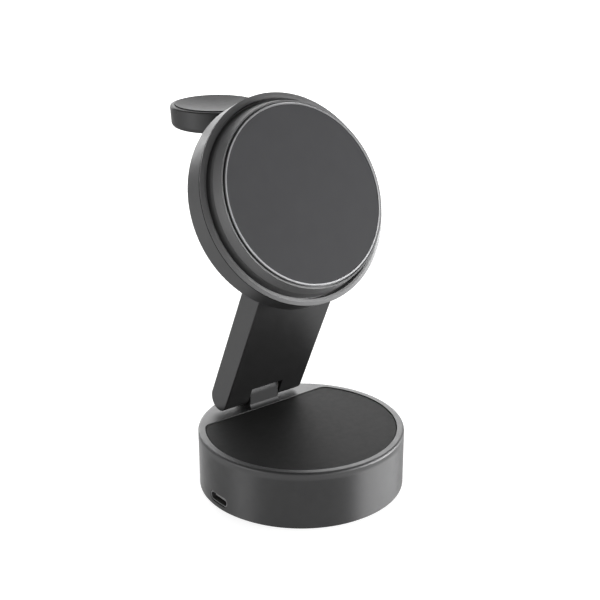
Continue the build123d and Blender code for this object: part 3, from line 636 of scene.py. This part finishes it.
def turned_face(finish, stretch):
    """Draws reflections out across the turning marks, which run round the head's axis."""
    tree = finish.node_tree
    shader = tree.nodes["Principled BSDF"]
    round_head = work_out(tree, "CROSS_PRODUCT", from_head_middle(tree), head_out)
    unit = work_out(tree, "NORMALIZE", round_head.outputs["Vector"])
    in_room = tree.nodes.new("ShaderNodeVectorTransform")
    in_room.vector_type = "VECTOR"
    in_room.convert_from = "OBJECT"
    in_room.convert_to = "WORLD"
    tree.links.new(unit.outputs["Vector"], in_room.inputs["Vector"])
    tree.links.new(in_room.outputs["Vector"], shader.inputs["Tangent"])
    shader.inputs["Anisotropic"].default_value = stretch


def paint_parting_shade(finish):
    """Paints shade on the wall's last edge before the parting line, as the joint's shadow."""
    tree = finish.node_tree
    shader = tree.nodes["Principled BSDF"]
    height = work_out(tree, "DOT_PRODUCT", from_head_middle(tree), head_out)
    start = parting_height - parting_shade_width - parting_shade_blur
    painted_shade = ramp(tree, height.outputs["Value"], start, start + parting_shade_blur, 0.0, 1.0)
    clouded = shader.inputs["Base Color"].links[0].from_socket
    mix = tree.nodes.new("ShaderNodeMix")
    mix.data_type = "RGBA"
    mix.inputs["B"].default_value = parting_shade_colour
    tree.links.new(painted_shade, mix.inputs["Factor"])
    tree.links.new(clouded, mix.inputs["A"])
    tree.links.new(mix.outputs["Result"], shader.inputs["Base Color"])


back_casing = anodised("anodised_head_back", back_tone, head_roughness)
front_casing = anodised("anodised_head_front", front_tone, head_roughness, metallic=0.3)
# The back housing's last edge before the parting line gets painted shade.
paint_parting_shade(back_casing)
turned_face(front_casing, front_stretch)
dress(back_casing, "head_rear_housing")
dress(front_casing, "head_front_housing")

# Head hinge: the same lug, bearing, clamp and screws as below, turned round. The lug
# stands on the lower part of the head's back, and its screws come from inside the head.

screw_above_back = 3.2 * mm
dress(lug_casing, "head_hinge_lug")
dress(nylon, "head_hinge_sleeve")
dress(steel, "head_hinge_clamp")
head_pair = pair_round(head_foot + screw_above_back * head_out)
screws("head_lug_screws", "head", "head_hinge_screws", head_pair, -head_out, hinge_screw)

# Charging parts of the head: the winding and its ferrite behind the front plate, the ring
# of nickel-plated magnets with its steel shunt, and the green round circuit board.

nickel_dark = (0.42, 0.42, 0.43, 1)
nickel_pale = (0.50, 0.50, 0.50, 1)
nickel = bare_metal("nickel_magnet", nickel_dark, nickel_pale, smooth=0.16, rough=0.24)
winding(
    "phone_winding", "head", "phone_coil",
    axis=head_out, bore=9.0 * mm, radius=21.0 * mm, height=1.5 * mm,
)
dress(ferrite, "phone_ferrite")
dress(nickel, "phone_magnets")
dress(steel, "magnet_shunt")
dress(mask, "head_circuit_board")

# Trim ring: a narrow metal ring round the phone pad, set into the front housing. It is
# cut bright after anodising, so that its edge shines against the dark casing.

trim_dark = (0.19, 0.19, 0.194, 1)
trim_pale = (0.22, 0.22, 0.224, 1)
bright_cut = bare_metal("bright_cut_edge", trim_dark, trim_pale, smooth=0.42, rough=0.48)
dress(bright_cut, "head_trim_ring")

# Phone pad: a disc with the same soft-touch skin as the earbud pad. Its grey is painted paler
# than the earbud pad's, as painted light for the brighter light on its upright face. It is
# glued on the front housing, just below the trim ring's edge.

# These greys are painted paler than the earbud pad's, as painted light.
lit_phone_pad_dark = (0.041, 0.041, 0.043, 1)
lit_phone_pad_pale = (0.046, 0.046, 0.048, 1)
dress(soft_touch("soft_touch_phone_lit", lit_phone_pad_dark, lit_phone_pad_pale), "phone_pad")

# Watch hinge pin: a ground steel pin, pressed into the ears of the pocket in the head's
# back. The puck's tongue turns on it.

dress(steel, "watch_hinge_pin")

# Puck housing: a small aluminium cup with the tongue of its hinge, blasted and anodised a
# little darker than the head.

puck_tone = 0.048
dress(anodised("anodised_puck", puck_tone, head_roughness), "puck_housing")

# Charging parts of the puck: a winding with its ferrite, the magnet in the middle that
# holds the watch, and a circuit board, all under the dish.

winding(
    "watch_winding", "puck", "watch_coil",
    axis=up, bore=5.15 * mm, radius=11.5 * mm, height=1.3 * mm,
)
dress(ferrite, "watch_ferrite")
dress(nickel, "watch_magnet")
dress(mask, "watch_circuit_board")

# Puck dish: the hollowed face that the watch lies on, moulded in dark grey plastic. It
# is smoother than the pads, and is set into the cup's rim.

dish_dark = (0.040, 0.040, 0.041, 1)
dish_pale = (0.046, 0.046, 0.047, 1)
smooth_dish, dish_tree, dish_shader = new_finish("smooth_dish")
dish_shader.inputs["Specular IOR Level"].default_value = 0.02
vary_colour(dish_tree, dish_shader, lumps(dish_tree, size=5 * mm), dish_dark, dish_pale)
vary_shine(dish_tree, dish_shader, lumps(dish_tree, size=1.5 * mm), smooth=0.46, rough=0.52)
press_grain(dish_tree, dish_shader, lumps(dish_tree, size=0.2 * mm), depth=0.002 * mm)
dress(smooth_dish, "puck_dish")

# Indicator light: a glossy moulded pin in a hole of the puck's wall. It looks nearly black
# while nothing charges.

pin_dark = (0.02, 0.02, 0.02, 1)
pin_pale = (0.03, 0.03, 0.03, 1)
clear_pin, pin_tree, pin_shader = new_finish("clear_pin")
vary_colour(pin_tree, pin_shader, lumps(pin_tree, size=0.4 * mm), pin_dark, pin_pale)
vary_shine(pin_tree, pin_shader, lumps(pin_tree, size=0.3 * mm), smooth=0.12, rough=0.2)
dress(clear_pin, "indicator_light")

# Studio: a pale table, a surround that is white near the horizon and greyer above it, and
# five softboxes round the charger. The table shows white to the camera and in reflections,
# and keeps the charger's soft shadow.

surround_white = 1.0
surround_grey = 0.25
white_up_to = 0.10
grey_from = 0.50
table_width = 60
table_grey = (0.38, 0.38, 0.38, 1)
table_glow = 0.86
full_glow = 1.0
glow_rises_from = 0.25
glow_rises_to = 0.60


def seen_by_eye(tree):
    """Gives 1 for rays that come from the camera, a mirror or glass, and 0 for others."""
    path = tree.nodes.new("ShaderNodeLightPath")
    seen = path.outputs["Is Camera Ray"]
    for kind in ("Is Glossy Ray", "Is Transmission Ray"):
        either = tree.nodes.new("ShaderNodeMath")
        either.operation = "MAXIMUM"
        tree.links.new(seen, either.inputs[0])
        tree.links.new(path.outputs[kind], either.inputs[1])
        seen = either.outputs["Value"]
    return seen


def softbox(name, place, aim, size, brightness):
    """Hangs a rectangular softbox, brightness 1 being as bright as white paper."""
    lamp = bpy.data.lights.new(name, "AREA")
    lamp.shape = "RECTANGLE"
    lamp.size = size[0]
    lamp.size_y = size[1]
    lamp.energy = brightness * pi * size[0] * size[1]
    box = bpy.data.objects.new(name, lamp)
    box.location = place
    box.rotation_euler = (Vector(aim) - Vector(place)).to_track_quat("-Z", "Y").to_euler()
    box.visible_camera = False
    bpy.context.scene.collection.objects.link(box)


world = bpy.data.worlds.new("studio")
bpy.context.scene.world = world
world.use_nodes = True
sky_tree = world.node_tree
sky = sky_tree.nodes["Background"]
sky.inputs["Color"].default_value = (1, 1, 1, 1)
sky_way = sky_tree.nodes.new("ShaderNodeTexCoord")
sky_apart = sky_tree.nodes.new("ShaderNodeSeparateXYZ")
sky_tree.links.new(sky_way.outputs["Generated"], sky_apart.inputs["Vector"])
sky_level = ramp(sky_tree, sky_apart.outputs["Z"], white_up_to, grey_from, surround_white, surround_grey)
sky_level.node.interpolation_type = "SMOOTHSTEP"
sky_tree.links.new(sky_level, sky.inputs["Strength"])

bpy.ops.mesh.primitive_plane_add(size=table_width)
table = bpy.context.object
table.name = "table"
table_white, table_tree, table_shader = new_finish("white_table")
table_shader.inputs["Base Color"].default_value = table_grey
table_shader.inputs["Specular IOR Level"].default_value = 0
table_shader.inputs["Roughness"].default_value = 1
table_shader.inputs["Emission Color"].default_value = (1, 1, 1, 1)
table_reach = work_out(table_tree, "LENGTH", place_on(table_tree)).outputs["Value"]
glow_there = ramp(table_tree, table_reach, glow_rises_from, glow_rises_to, table_glow, full_glow)
glow = table_tree.nodes.new("ShaderNodeMath")
glow.operation = "MULTIPLY"
table_tree.links.new(seen_by_eye(table_tree), glow.inputs[0])
table_tree.links.new(glow_there, glow.inputs[1])
table_tree.links.new(glow.outputs["Value"], table_shader.inputs["Emission Strength"])
table.data.materials.append(table_white)

softbox("back_softbox", place=(0.50, 0.74, 0.40), aim=(0, 0, 0.06), size=(1.0, 0.70), brightness=4.8)
softbox("right_softbox", place=(0.66, -0.52, 0.10), aim=(0, 0, 0.03), size=(1.0, 0.18), brightness=31.0)
softbox("left_softbox", place=(-0.85, 0.15, 0.12), aim=(0, 0, 0.03), size=(0.36, 0.22), brightness=8.0)
softbox("top_softbox", place=(0.48, 0.29, 0.66), aim=(0, 0, 0.10), size=(0.30, 0.30), brightness=5.0)
softbox("far_softbox", place=(0.0, 0.95, 0.26), aim=(0, 0, 0.10), size=(0.24, 0.24), brightness=12.0)

# Camera: a long lens at the photograph's angle, above the charger and aimed at the arm.
# Its shift lowers the charger in the picture, as in the photograph.

azimuth = radians(-38.4932)
elevation = radians(22.2924)
distance = 0.392849
target = Vector((-0.000514, 0, 0.049755))
towards_camera = Vector((sin(azimuth) * cos(elevation), -cos(azimuth) * cos(elevation), sin(elevation)))
camera_data = bpy.data.cameras.new("camera")
camera_data.lens = 73.355
camera_data.sensor_width = 36
camera_data.shift_y = 0.07
camera = bpy.data.objects.new("camera", camera_data)
camera.location = target + towards_camera * distance
camera.rotation_euler = (-towards_camera).to_track_quat("-Z", "Y").to_euler()
bpy.context.scene.collection.objects.link(camera)
bpy.context.scene.camera = camera
bpy.context.scene.view_settings.view_transform = "Standard"
